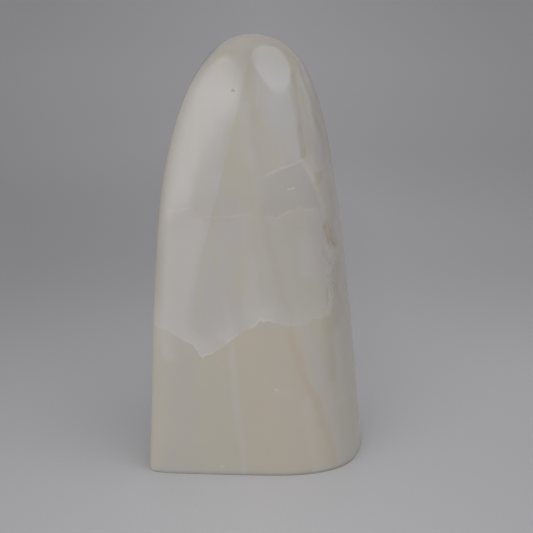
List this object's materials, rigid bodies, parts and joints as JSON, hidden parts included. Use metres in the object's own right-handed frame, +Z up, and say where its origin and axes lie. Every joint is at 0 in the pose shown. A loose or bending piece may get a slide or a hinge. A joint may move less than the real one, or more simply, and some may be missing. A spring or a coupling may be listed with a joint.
{
  "type": "calcite freeform",
  "caption": "Polished banded calcite tower with a rounded top, soft facets down its sides and a flat sawn base that it stands on.",
  "frame": {"origin": "on the flat sawn base, at the middle of the box round the stone", "axes": "+Z up along the tower, the broad front face looks along -Y, +X to the viewer's right"},
  "size_m": [0.0652, 0.0502, 0.13],
  "materials": {
    "polished_calcite": "polished"
  },
  "bodies": {
    "root": {"calcite_freeform": "polished_calcite"}
  },
  "joints": []
}
